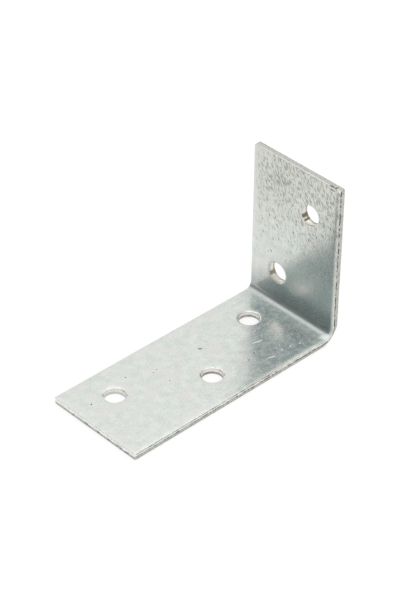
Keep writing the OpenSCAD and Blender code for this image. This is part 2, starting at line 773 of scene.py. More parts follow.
    def _round(self, hole: Hole) -> Outline:
        """Draws the outline of a hole.

        Args:
            hole: The hole.

        Returns:
            The outline, clockwise, so that the steel lies on the same hand as elsewhere.
        """
        outline = Outline()
        for i in range(self.hole_points):
            turn = -2 * math.pi * i / self.hole_points
            nu, ny = -math.cos(turn), -math.sin(turn)
            outline.add(hole.u - hole.r * nu, hole.y - hole.r * ny, nu, ny)
        return outline

    def _band(self, upper: list[int], lower: list[int], zone: Zone) -> None:
        """Joins two closed rings with faces that look out of the steel.

        Args:
            upper: Numbers of the ring's points on the side of the inner faces.
            lower: Numbers of the other ring's points.
            zone: Finish of the faces between them.
        """
        count = len(upper)
        for i in range(count):
            j = (i + 1) % count
            self.faces.append((upper[i], lower[i], lower[j], upper[j]))
            self.zones.append(zone.value)

    def _wall(
        self, outline: Outline, edge: ShearedEdge, zones: tuple[Zone, Zone, Zone]
    ) -> tuple[list[int], list[int]]:
        """Builds the sheared section round an outline.

        Args:
            outline: The outline.
            edge: Its section.
            zones: Finishes of its nose, its land and its break.

        Returns:
            The first ring, on the inner faces, and the last one, on the outer faces.
        """
        sections = [
            edge.section(place, outward, self.form.end_share(*place))
            for place, outward in zip(outline.points, outline.outward)
        ]
        rings = []
        for k in range(len(sections[0])):
            ring = []
            for (u, y), (nu, ny), section in zip(outline.points, outline.outward, sections):
                inset, depth, torn = section[k]
                ring.append(self._vertex(u - nu * inset, y - ny * inset, depth, torn))
            rings.append(ring)
        for upper, lower, kind in zip(rings, rings[1:], edge.bands):
            self._band(upper, lower, zones[kind])
        return rings[0], rings[-1]

    def _inner_points(self, borders: list[tuple[Outline, ShearedEdge]]) -> Iterator[Place]:
        """Scatters points over the inner faces: rows along each outline, then an even grid.

        Args:
            borders: Each outline with its sheared edge.

        Yields:
            Places on the blank.
        """
        for outline, edge in borders:
            for number, distance in enumerate(self.terraces):
                if distance < edge.nose + 1.5 * self.seam:
                    continue
                stride = 1 + number // 2
                for u, y in outline.inset(distance)[::stride]:
                    if self._clearance(u, y) > 0.98 * distance:
                        yield u, y
        yield from self._grid(self.terraces[-1] + self.grid_gap)

    def _grid(self, clear: float) -> Iterator[Place]:
        """Lays an even grid of points over a face.

        Args:
            clear: How far they keep clear of the outlines.

        Yields:
            Places on the blank.
        """
        side = self.form.width / 2
        columns = round(2 * side / self.face_step)
        for u in self._rows(0.0, self.form.length, self.face_step):
            for j in range(1, columns):
                y = -side + 2 * side * j / columns
                if self._clearance(u, y) > clear:
                    yield u, y

    def _fill(
        self, loops: list[tuple[list[Place], list[int]]], inside: Iterator[Place], inner: bool
    ) -> None:
        """Fills a face between the loops that border it.

        Args:
            loops: The places of each loop, with the ring of the wall that it joins.
            inside: Places between the loops.
            inner: Whether this is the inner face.
        """
        flat: list[Vector] = []
        numbers: list[int] = []
        owners: list[int] = []
        edges: list[tuple[int, int]] = []
        for owner, (loop, ring) in enumerate(loops):
            first, count = len(flat), len(loop)
            band = [self._face_vertex(u, y, inner) for u, y in loop]
            self._band(*((band, ring) if inner else (ring, band)), Zone.FACE)
            flat += [Vector(place) / MM for place in loop]
            numbers += band
            owners += [owner] * count
            edges += [(first + i, first + (i + 1) % count) for i in range(count)]
        for u, y in inside:
            flat.append(Vector((u, y)) / MM)
            numbers.append(self._face_vertex(u, y, inner))
            owners.append(0)
        points, _, triangles, origins, _, _ = delaunay_2d_cdt(flat, edges, [], 1, 1e-6)
        for triangle in triangles:
            around = {owners[origins[i][0]] for i in triangle}
            if len(around) == 1 and 0 not in around:
                continue
            corners = [numbers[origins[i][0]] for i in triangle]
            a, b, c = (points[i] for i in triangle)
            if ((b - a).cross(c - a) > 0) != inner:
                corners.reverse()
            self.faces.append(tuple(corners))
            self.zones.append(Zone.FACE.value)

    def build(self, name: str) -> bpy.types.Object:
        """Builds the mesh object.

        Args:
            name: Name of the piece.

        Returns:
            The piece, linked to the scene. Each point keeps its place on the blank and how torn
            the steel is there, as attributes that the finishes read.
        """
        borders = [(self._perimeter(), self.edge, (Zone.FACE, Zone.LAND, Zone.BREAK))]
        punched = (Zone.HOLE_LAND, Zone.HOLE_LAND, Zone.HOLE_BREAK)
        borders += [(self._round(hole), self.rim, punched) for hole in self.holes]
        inner_loops, outer_loops = [], []
        for outline, edge, zones in borders:
            first, last = self._wall(outline, edge, zones)
            inner_loops.append((outline.inset(edge.nose + self.seam), first))
            outer_loops.append((outline.inset(edge.foot + self.seam), last))
        edges = [(outline, edge) for outline, edge, _ in borders]
        self._fill(inner_loops, self._inner_points(edges), inner=True)
        self._fill(outer_loops, self._grid(self.outer_gap), inner=False)
        mesh = bpy.data.meshes.new(name)
        mesh.from_pydata(self.vertices, [], self.faces)
        mesh.polygons.foreach_set("material_index", self.zones)
        mesh.polygons.foreach_set("use_smooth", [True] * len(self.faces))
        places = mesh.attributes.new("blank", "FLOAT_VECTOR", "POINT")
        places.data.foreach_set("vector", [c for place in self.blank for c in place])
        mesh.attributes.new("torn", "FLOAT", "POINT").data.foreach_set("value", self.torn)
        mesh.update()
        piece = bpy.data.objects.new(name, mesh)
        bpy.context.scene.collection.objects.link(piece)
        return piece


# ---------------------------------------------------------------- finishes


@dataclass(frozen=True)
class Mark:
    """One mark on the steel, by its place on the blank. Sizes are in millimetres.

    Attributes:
        u: Distance from the free end along the blank.
        y: Distance from the centre line.
        long: Half its length.
        wide: Half its width.
        turn: Angle of its length from the blank's own, in degrees.
        deep: How far it reaches into the sheet from the inner faces.
    """

    u: float
    y: float
    long: float
    wide: float
    turn: float = 0.0
    deep: float = 0.5


# Marks of each colour: stain marks, and on the punched holes also painted shade and painted
# highlights.
StainsAndPaintedLight = tuple[tuple[tuple[Mark, ...], str], ...]

# Where a finish starts and where it is full, and its least and top share if not 0 and 1
Fade = tuple[float, ...]


def blank_place(tree: Tree) -> Node:
    """The place on the blank in millimetres: along it, across it and through the sheet."""
    blank = add_node(tree, "Attribute", attribute_name="blank").outputs["Vector"]
    return add_node(tree, "VectorMath", {0: blank, "Scale": 1 / MM}, operation="SCALE")


def faded(tree: Tree, *fades: tuple[Feed, ...]) -> Feed:
    """Works out how much of a finish there is where it fades in or out along some measures.

    Args:
        tree: The node tree.
        *fades: For each fade the measure, the value where it starts and the one where it is
            full, and its least and its top share if they aren't 0 and 1.

    Returns:
        The product of the fades, each smooth and within its limits.
    """
    share: Feed = 1.0
    for fade in fades:
        part = add_node(tree, "MapRange", fade, interpolation_type="SMOOTHSTEP")
        share = add_node(tree, "Math", (part, share), operation="MULTIPLY")
    return share


def marked(tree: Tree, place: Node, marks: tuple[Mark, ...], soft: float = 0.6) -> Feed:
    """Shows where marks lie.

    Args:
        tree: The node tree.
        place: The place on the blank.
        marks: The marks.
        soft: Width of their soft rims as a share of their half width.

    Returns:
        A value that is 1 on a mark and 0 elsewhere.
    """
    total: Feed = 0.0
    for mark in marks:
        local = add_node(tree, "Mapping", {
            "Vector": place,
            "Location": (mark.u, mark.y, 0.0),
            "Rotation": (0.0, 0.0, math.radians(mark.turn)),
            "Scale": (mark.long, mark.wide, mark.deep),
        }, vector_type="TEXTURE")
        away = add_node(tree, "VectorMath", (local,), operation="LENGTH")
        here = faded(tree, (away, 1.0, 1.0 - soft))
        total = add_node(tree, "Math", (here, total), operation="MAXIMUM")
    return total


def layered(tree: Tree, base: Feed, layers: tuple[tuple[Feed, Feed], ...]) -> Feed:
    """Lays colours over one another.

    Args:
        tree: The node tree.
        base: The lowest colour.
        layers: The share and the colour of each layer, from the lowest to the top one.

    Returns:
        The mixed colour.
    """
    for share, tint in layers:
        base = add_node(tree, "Mix", {0: share, 6: base, 7: tint}, data_type="RGBA")
    return base


@dataclass(frozen=True)
class DragMarks:
    """Short slanting streaks and pits that dragging over the folding tool left in zinc.

    Attributes:
        slant: Angle of the marks from the blank's length, in degrees.
        size: Length and spacing of the streaks. The real ones are some 0.2 mm apart, which
            would not show, so they are drawn coarser.
        large_pits: Spacing of the larger pits along and across their slant.
        small_pits: Spacing of the smaller ones.
        small_shift: How far the smaller ones are moved off the larger ones.
        patch_size: Spacing of the thicker and thinner patches.
        start: Height above the fold where the marks start, in millimetres.
        crown: How far below the top edge they become most frequent.
        clean_side: Fade towards the far side edge, beside which there are none.
        thick: Where the streaks lie thickest.
        thick_rim: Softness of its rim.
        thicker: How much thicker they are there.
        streaked: Fade of the streaks over their noise.
        veiled: Fade of the thin veil of dirt between them over the patches.
        veil: Strength of that veil.
        pitted: Fade of the share of pits over the patches.
        more_small: How much larger that share is for the smaller pits.
        picked: Fade between a place without a pit and one with it.
        pit_rim: Fade of a pit's rim, as a share of the spacing.
        large_dirt: How dirty the larger pits are.
        small_dirt: How dirty the smaller ones are.
    """

    slant: float = 24.0
    size: tuple[float, float] = (1.7, 0.5)
    large_pits: tuple[float, float] = (1.9, 0.75)
    small_pits: tuple[float, float] = (1.2, 0.5)
    small_shift: float = 13.7
    patch_size: float = 6.5
    start: float = 4.0
    crown: float = 6.0
    clean_side: Fade = (16.2, 12.5)
    thick: Mark = Mark(114.5, 5.5, 7.5, 5.0)
    thick_rim: float = 0.9
    thicker: float = 0.06
    streaked: Fade = (0.47, 0.64, 0.0, 0.6)
    veiled: Fade = (0.35, 0.62)
    veil: float = 0.06
    pitted: Fade = (0.28, 0.62, 0.0, 0.45)
    more_small: float = 0.04
    picked: Fade = (0.0, -0.06)
    pit_rim: Fade = (0.44, 0.18)
    large_dirt: float = 0.7
    small_dirt: float = 0.55

    def _slanted(
        self, tree: Tree, place: Node, size: tuple[float, float], shift: float = 0.0
    ) -> Node:
        """Stretches the place for a pattern that is drawn out along the marks.

        Args:
            tree: The node tree.
            place: The place on the blank.
            size: Spacing of the pattern along and across the marks, in millimetres.
            shift: How far the pattern is moved, which sets it apart from another.

        Returns:
            The stretched place.
        """
        return add_node(tree, "Mapping", {
            "Vector": place,
            "Location": (shift, shift, 0.0),
            "Rotation": (0.0, 0.0, math.radians(self.slant)),
            "Scale": (*size, 1.0),
        }, vector_type="TEXTURE")

    def _pits(self, tree: Tree, slanted: Node, share: Feed, strength: float) -> Feed:
        """Scatters short slanting pits.

        Args:
            tree: The node tree.
            slanted: The place on the blank, stretched to the pits' spacing.
            share: Share of the places that hold a pit.
            strength: How dirty the pits are.

        Returns:
            A value that is that strength in a pit and 0 elsewhere.
        """
        cells = add_node(
            tree, "TexVoronoi", {"Vector": slanted, "Scale": 1.0, "Randomness": 1.0})
        pick = add_node(tree, "SeparateColor", (cells.outputs["Color"],))
        spared = add_node(tree, "Math", (pick, share), operation="SUBTRACT")
        pits = faded(tree, (spared, *self.picked), (cells, *self.pit_rim))
        return add_node(tree, "Math", (pits, strength), operation="MULTIPLY")

    def dirt(self, tree: Tree, place: Node, past: Feed, across: Feed, top: float) -> Feed:
        """Shows the dirt in the marks: more towards the top, none at the far side edge.

        Args:
            tree: The node tree.
            place: The place on the blank.
            past: Distance along it past the start of the upright.
            across: Distance from its centre line.
            top: Height of the upright's top edge above the fold.

        Returns:
            A value from 0 where the zinc is clean to 1.
        """
        add = partial(add_node, tree)
        patches = add("TexNoise", {
            "Vector": place, "Scale": 1 / self.patch_size, "Detail": 3.0, "Roughness": 0.5})
        rising = faded(tree, (past, self.start, top - self.crown), (across, *self.clean_side))
        drawn = add("TexNoise", {
            "Vector": self._slanted(tree, place, self.size),
            "Scale": 1.0, "Detail": 2.0, "Roughness": 0.6})
        thick = marked(tree, place, (self.thick,), self.thick_rim)
        drawn = add("Math", (thick, self.thicker, drawn), operation="MULTIPLY_ADD")
        streaks = add("Math", (faded(tree, (patches, *self.veiled)), self.veil,
                               faded(tree, (drawn, *self.streaked))),
                      operation="MULTIPLY_ADD")
        streaks = add("Math", (streaks, rising), operation="MULTIPLY")
        share = add("Math", (rising, faded(tree, (patches, *self.pitted))),
                    operation="MULTIPLY")
        small_share = add("Math", (share, self.more_small), operation="ADD")
        large = self._pits(
            tree, self._slanted(tree, place, self.large_pits), share, self.large_dirt)
        small = self._pits(
            tree, self._slanted(tree, place, self.small_pits, self.small_shift),
            small_share, self.small_dirt)
        pits = add("Math", (large, small), operation="MAXIMUM")
        return add("Math", (pits, streaks), operation="MAXIMUM")


@dataclass(frozen=True)
class FoldBands:
    """Bands along the fold, as the fades that bound them: some that folding left, and some of
    painted shade and of a painted reflection tint.

    Those along the strip are in millimetres past the start of the upright, and those across it
    in millimetres from the centre line.

    Attributes:
        taut: Where the long leg's zinc starts to be stretched.
        painted_reflection_end: Where the long leg's painted reflection tint is lost at the fold.
        matt: Where the duller line in the fold starts.
        matt_end: Where that line ends.
        matt_share: How much of the clouds' colour lies on that line.
        crease_shade: Where the band of painted shade over the fold's crease starts.
        crease_shade_end: Where it ends on the upright.
        crease_shade_near: Where it starts beside the near side edge.
        crease_shade_far: Where it thins towards the far side edge.
        white: Where the long leg's bloom thickens towards the fold.
        white_far: Where it thickens towards the far side edge.
        white_end: Where it ends in the fold.
        foot: Where the upright's rough foot starts.
        foot_end: Where that foot ends.
        upright_shade: Height where the upright's painted shade starts, which is full at its top.
    """

    taut: Fade = (-12.0, -7.0)
    painted_reflection_end: Fade = (-6.0, -7.5, 0.0, 0.4)
    matt: Fade = (-7.5, -6.0)
    matt_end: Fade = (-2.0, -4.5)
    matt_share: float = 0.5
    crease_shade: Fade = (-5.3, -4.1)
    crease_shade_end: Fade = (6.0, -2.5, 0.0, 0.95)
    crease_shade_near: Fade = (-15.9, -14.8)
    crease_shade_far: Fade = (5.0, 14.0, 1.0, 0.7)
    white: Fade = (-16.0, -10.0)
    white_far: Fade = (5.0, 14.0, 0.0, 0.3)
    white_end: Fade = (-3.0, -6.0)
    foot: Fade = (0.0, 4.0)
    foot_end: Fade = (16.0, 9.0, 0.0, 0.06)
    upright_shade: float = 16.0


@dataclass(frozen=True)
class ZincFace:
    """Zinc coating on cold-rolled strip, smoothed by the rolls of the coating line.

    It gives a pale satin metal with a faint green cast and soft clouds a few millimetres wide.
    The upright was dragged over the folding tool, which left short slanting streaks and pits
    in its zinc. Painted shade darkens a band over the fold's crease and the upright towards its
    top, a painted blue-green tint stands for the dark reflection on the long leg beside the
    fold, and two of the scratch marks are painted highlights.

    Attributes:
        fold_at: Distance along the blank where the upright begins, in millimetres.
        length: Length of the blank in millimetres.
        name: The material's name.
        pale: The zinc itself.
        cloud: Its duller clouds.
        blush: Its warmer clouds.
        upright_shade: Painted shade: the upright's zinc, duller and darker towards its top, for
            the dimmer light that it mirrors.
        crease_shade: Painted shade: a darker grey band over the fold's crease.
        pit: Its pits and cracks, where dirt sits.
        painted_reflection_tint: Painted reflection: a blue-green tint that stands for the dark
            reflection on the long leg beside the fold, where its zinc is stretched.
        scratch_and_highlight_white: Fresh scratch marks, and painted highlights.
        speck: Single specks.
        clouded: Fade of the clouds over the mottle.
        blushed: Fade of the warmer clouds over their noise.
        cracked: Fade of the dirt in the cracks over its noise.
        bloom: How much of the long leg's gloss is lost to white bloom.
        bloomed: Fade of the bloom over its noise.
        bloom_shares: Its least and top share of that loss.
        taut_bloom: How much more is lost where the zinc is stretched.
        roughness: Its roughness, before clouds and pits change it.
        mottled: Levels of the mottle from its glossiest to its roughest.
        smoother: How much less rough it is at the first.
        rougher: How much rougher it is at the second.
        dirt_rough: How much rougher it is in dirt.
        scratch_and_highlight_rough: The same in scratch marks and painted highlights.
        matt_rough: The same on the duller line in the fold.
        foot_rough: The same at the upright's foot.
        relief: Height of its clouds and depth of its pits, in millimetres.
        cloud_size: Width of the clouds in millimetres, as on real strip.
        warm_size: Spacing of the warmer clouds.
        warm_shift: How far the warmer clouds are moved off the others.
        bloom_size: Spacing of the bloom's patches.
        dirt_size: Spacing of the dirt in the cracks along the edges.
        grain_size: Width of the rolls' grain. The real one is about 0.1 mm, which would not
            show, so it is drawn coarser.
        grain_share: Share of that grain in the mottle.
        bands: Bands that folding left.
        drag: Drag marks of the upright.
        specks: Single pits that stand out.
        scratches_and_highlights: Bright scratch marks, and two painted highlights: a patch at the
            near end of the fold and a spot at the upright's top corner.
    """

    fold_at: float
    length: float
    name: str = "zinc_coated_strip"
    pale: str = "#DFE3DD"
    cloud: str = "#CDD3CE"
    blush: str = "#DBD9D5"
    upright_shade: str = "#D4D6CE"
    crease_shade: str = "#9B9F9D"
    pit: str = "#7C7F77"
    painted_reflection_tint: str = "#BCD2CE"
    scratch_and_highlight_white: str = "#F6F8F6"
    speck: str = "#55574F"
    clouded: Fade = (0.34, 0.66)
    blushed: Fade = (0.42, 0.7, 0.0, 0.8)
    cracked: Fade = (0.2, 0.5, 0.0, 0.9)
    bloom: float = 0.24
    bloomed: Fade = (0.38, 0.64)
    bloom_shares: tuple[float, float] = (0.5, 1.6)
    taut_bloom: float = 0.4
    roughness: float = 0.24
    mottled: Fade = (0.3, 0.7)
    smoother: float = 0.06
    rougher: float = 0.08
    dirt_rough: float = 0.25
    scratch_and_highlight_rough: float = 0.5
    matt_rough: float = 0.12
    foot_rough: float = 1.0
    relief: float = 0.012
    cloud_size: float = 2.6
    warm_size: float = 4.5
    warm_shift: float = 31.0
    bloom_size: float = 1.7
    dirt_size: float = 1.1
    grain_size: float = 0.6
    grain_share: float = 0.32
    bands: FoldBands = FoldBands()
    drag: DragMarks = DragMarks()
    specks: tuple[Mark, ...] = (
        Mark(42.7, 4.8, 0.8, 0.34, -35),
        Mark(26.4, 5.8, 0.28, 0.22),
        Mark(27.9, 6.2, 0.3, 0.2, 40),
        Mark(27.2, 0.3, 0.28, 0.2),
        Mark(5.2, 7.0, 0.45, 0.25, 30),
        Mark(19.4, 9.3, 0.35, 0.22),
        Mark(52.2, -6.6, 0.5, 0.25, 60),
        Mark(49.0, -7.8, 0.35, 0.2, 30),
        Mark(100.7, -5.6, 0.75, 0.2, 24),
        Mark(102.9, -8.5, 0.7, 0.2, 24),
        Mark(108.3, -13.4, 0.8, 0.2, 24),
        Mark(100.4, 0.1, 0.6, 0.18, 24),
        Mark(101.7, 7.1, 0.6, 0.18, 24),
        Mark(101.4, 9.4, 0.5, 0.18, 24),
        Mark(120.75, -13.4, 0.25, 1.3),
    )
    scratches_and_highlights: tuple[Mark, ...] = (
        Mark(56.3, -3.6, 2.1, 0.24, -15),
        Mark(54.4, -11.1, 2.1, 0.23, -20),
        Mark(58.8, -10.8, 0.6, 0.24, 70),
        Mark(61.6, -11.1, 0.5, 0.26, 30),
        Mark(64.5, -12.0, 0.4, 0.28, 0),
        Mark(59.7, -8.9, 0.5, 0.15, 60),
        Mark(91.5, 0.4, 0.3, 0.25, 0),
        # Painted highlights rather than scratch marks: a patch at the near end of the fold and a
        # spot at the upright's top corner.
        Mark(71.9, -15.0, 2.4, 1.5, -45),
        Mark(121.3, -15.8, 0.5, 0.6, 0, 1.0),
    )

    def material(self) -> bpy.types.Material:
        """Builds the material.

        Returns:
            The material.
        """
        material, tree = new_material(self.name)
        add = partial(add_node, tree)
        bands = self.bands
        place = blank_place(tree)
        along, across = add("SeparateXYZ", (place,)).outputs[:2]
        past = add("Math", (along, self.fold_at), operation="SUBTRACT")
        top = self.length - self.fold_at

        # Clouds of a few sizes and a fine grain from the rolls.
        clouds, grain, patches, specked = (
            add("TexNoise", {
                "Vector": place, "Scale": 1 / size, "Detail": detail, "Roughness": roughness})
            for size, detail, roughness in (
                (self.cloud_size, 3.0, 0.6),
                (self.grain_size, 1.0, 0.6),
                (self.bloom_size, 3.0, 0.6),
                (self.dirt_size, 2.0, 0.5),
            ))
        elsewhere = add("Mapping", {
            "Vector": place, "Location": (self.warm_shift, self.warm_shift, 0.0)},
            vector_type="TEXTURE")
        warm = add("TexNoise", {
            "Vector": elsewhere, "Scale": 1 / self.warm_size, "Detail": 2.0})
        mottle = add("Mix", {0: self.grain_share, 2: clouds, 3: grain}, data_type="FLOAT")
        dirt = self.drag.dirt(tree, place, past, across, top)

        # Dirt in the cracks where the faces turn into the sheared edges.
        torn = add("Attribute", attribute_name="torn").outputs["Fac"]
        cracks = add("Math", (torn, specked), operation="MULTIPLY")

        # The zinc stretched in the fold, and a duller line there. Painted shade darkens a band
        # over the crease, and a painted blue-green tint stands for the dark reflection on the
        # long leg beside the fold. The upright's foot is rougher.
        taut = faded(tree, (past, *bands.taut))
        painted_reflection_tint = faded(tree, (past, *bands.taut), (past, *bands.painted_reflection_end))
        matt = faded(tree, (past, *bands.matt), (past, *bands.matt_end))
        crease_shade = faded(tree, (past, *bands.crease_shade), (past, *bands.crease_shade_end),
                       (across, *bands.crease_shade_near), (across, *bands.crease_shade_far))
        scratch_and_highlight_mask = marked(tree, place, self.scratches_and_highlights)
        colour = layered(tree, self.pale, (
            (faded(tree, (mottle, *self.clouded)), self.cloud),
            (faded(tree, (warm, *self.blushed)), self.blush),
            # Painted shade: the upright's zinc darker towards its top.
            (faded(tree, (past, bands.upright_shade, top)), self.upright_shade),
            (faded(tree, (cracks, *self.cracked)), self.speck),
            (dirt, self.pit),
            (marked(tree, place, self.specks), self.speck),
            # Painted reflection: a blue-green tint for the dark reflection on the long leg beside
            # the fold.
            (painted_reflection_tint, self.painted_reflection_tint),
            (add("Math", (matt, bands.matt_share), operation="MULTIPLY"), self.cloud),
            # Painted shade: a darker grey band over the fold's crease.
            (crease_shade, self.crease_shade),
            # Scratch marks, and painted highlights.
            (scratch_and_highlight_mask, self.scratch_and_highlight_white),
        ))

        # White bloom on the long leg, which ends short of the fold.
        least, most = (share * self.bloom for share in self.bloom_shares)
        bloom = faded(tree, (patches, *self.bloomed, least, most))
        bloom = add("Math", (taut, self.taut_bloom, bloom), operation="MULTIPLY_ADD")
        white = faded(tree, (past, *bands.white), (across, *bands.white_far))
        bloom = add("Math", (bloom, white), operation="ADD")
        bloom = add("Math", (bloom, faded(tree, (past, *bands.white_end))),
                    operation="MULTIPLY")
        metallic = add("Math", (1.0, bloom), operation="SUBTRACT")

        foot = faded(tree, (past, *bands.foot), (past, *bands.foot_end))
        rough = add("MapRange", (mottle, *self.mottled, self.roughness - self.smoother,
                                 self.roughness + self.rougher), clamp=False)
        for share, more in ((dirt, self.dirt_rough), (scratch_and_highlight_mask, self.scratch_and_highlight_rough),
                            (matt, self.matt_rough), (foot, self.foot_rough)):
            rough = add("Math", (share, more, rough), operation="MULTIPLY_ADD")
        height = add("Math", (mottle, dirt), operation="SUBTRACT")
        bump = add("Bump", {"Strength": 1.0, "Distance": self.relief * MM, "Height": height})
        shader = add("BsdfPrincipled", {
            "Base Color": colour, "Metallic": metallic, "Roughness": rough, "Normal": bump})
        add("OutputMaterial", {"Surface": shader})
        return material


@dataclass(frozen=True)
class CutSteel:
    """Bare steel where the strip was sheared or punched.

    The land is burnished by the blade, with fine streaks through the sheet. The break below it
    is torn: matt, pitted and darkest where it starts. Both are a little warmer than zinc. On
    the upright their tone changes, and the lands there are darker as painted shade, for the
    dimmer light that the upright mirrors, as on its zinc.

    Attributes:
        name: The material's name.
        fold_at: Distance along the blank where the upright begins, in millimetres.
        length: Length of the blank in millimetres.
        base: The steel.
        streak: Its darker streaks.
        upright_tone_and_shade: Its colour on the upright: a change of tone, and on the lands a
            darker painted shade.
        torn: The darkest part of the tear.
        stains_and_painted_light: Marks of each colour, by their places on the blank: stain marks,
            and on the punched holes also painted shade and painted highlights.
        fresh: Its colour on the upright's top edge, which nothing has scuffed.
        streaked: Fade of the streaks over their noise.
        cracked: Fade of the dark crack above the tear over its noise.
        crack_part: Fade of how much of the edge it takes, in millimetres past the start of the
            upright.
        upright_tone_and_shade_fade: Fade of the upright's tone and painted shade, in the same
            measure.
        upright_tone_and_shade_end: The same before the upright's top edge.
        freshened: Fade of that edge's own colour, in millimetres past it.
        metallic: How metallic it is, under the thin oxide on a cut.
        roughness: Its roughness.
        streak_levels: Levels of the streaks from the glossiest to the roughest.
        smoother: How much less rough it is at the first.
        rougher: How much rougher it is at the second.
        relief: Height of its roughness in millimetres.
        streak_size: Spacing of the streaks along the edge in millimetres. The blade leaves them
            some 0.1 mm apart, which would not show, so they are drawn coarser.
        through: Length of the streaks through the sheet in millimetres.
        crack_size: Spacing of the gaps in the dark crack above the tear.
    """

    name: str
    fold_at: float
    length: float
    base: str
    streak: str
    upright_tone_and_shade: str
    torn: str
    stains_and_painted_light: StainsAndPaintedLight
    fresh: str = "#E6E6E0"
    streaked: Fade = (0.42, 0.72)
    cracked: Fade = (0.44, 0.49)
    crack_part: Fade = (-45.0, -20.0, 0.9, 1.1)
    upright_tone_and_shade_fade: Fade = (8.0, 30.0, 0.0, 0.9)
    upright_tone_and_shade_end: Fade = (0.0, -1.0, 0.5, 1.0)
    freshened: Fade = (-0.6, -0.2, 0.0, 0.1)
    metallic: float = 0.9
    roughness: float = 0.3
    streak_levels: Fade = (0.3, 0.7)
    smoother: float = 0.08
    rougher: float = 0.12
    relief: float = 0.02
    streak_size: float = 0.5
    through: float = 3.0
    crack_size: float = 0.9

    def material(self) -> bpy.types.Material:
        """Builds the material.

        Returns:
            The material.
        """
        material, tree = new_material(self.name)
        add = partial(add_node, tree)
        place = blank_place(tree)
        along = add("SeparateXYZ", (place,)).outputs["X"]
        past = add("Math", (along, self.fold_at), operation="SUBTRACT")
        beyond = add("Math", (along, self.length), operation="SUBTRACT")
        drawn = add("VectorMath", (
            place, (1 / self.streak_size, 1 / self.streak_size, 1 / self.through)),
            operation="MULTIPLY")
        streaks = add("TexNoise", {
            "Vector": drawn, "Scale": 1.0, "Detail": 3.0, "Roughness": 0.65})
        patchy = add("TexNoise", {"Vector": place, "Scale": 1 / self.crack_size, "Detail": 3.0})
        torn = add("Attribute", attribute_name="torn").outputs["Fac"]
        cracks = add("Math", (torn, patchy), operation="MULTIPLY")
        part = faded(tree, (past, *self.crack_part))
        cracks = add("Math", (cracks, part), operation="MULTIPLY")
        colour = layered(tree, self.base, (
            # The upright's change of tone, with painted shade on the lands.
            (faded(tree, (past, *self.upright_tone_and_shade_fade), (beyond, *self.upright_tone_and_shade_end)), self.upright_tone_and_shade),
            (faded(tree, (streaks, *self.streaked)), self.streak),
            (faded(tree, (beyond, *self.freshened)), self.fresh),
            (faded(tree, (cracks, *self.cracked)), self.torn),
            # Stain marks, and on the punched holes also painted shade and painted highlights.
            *((marked(tree, place, marks), tint) for marks, tint in self.stains_and_painted_light),
        ))
        rough = add("MapRange", (streaks, *self.streak_levels, self.roughness - self.smoother,
                                 self.roughness + self.rougher), clamp=False)
        bump = add("Bump", {"Strength": 1.0, "Distance": self.relief * MM, "Height": streaks},
                   invert=True)
        shader = add("BsdfPrincipled", {
            "Base Color": colour, "Metallic": self.metallic, "Roughness": rough, "Normal": bump})
        add("OutputMaterial", {"Surface": shader})
        return material


# ---------------------------------------------------------------- studio


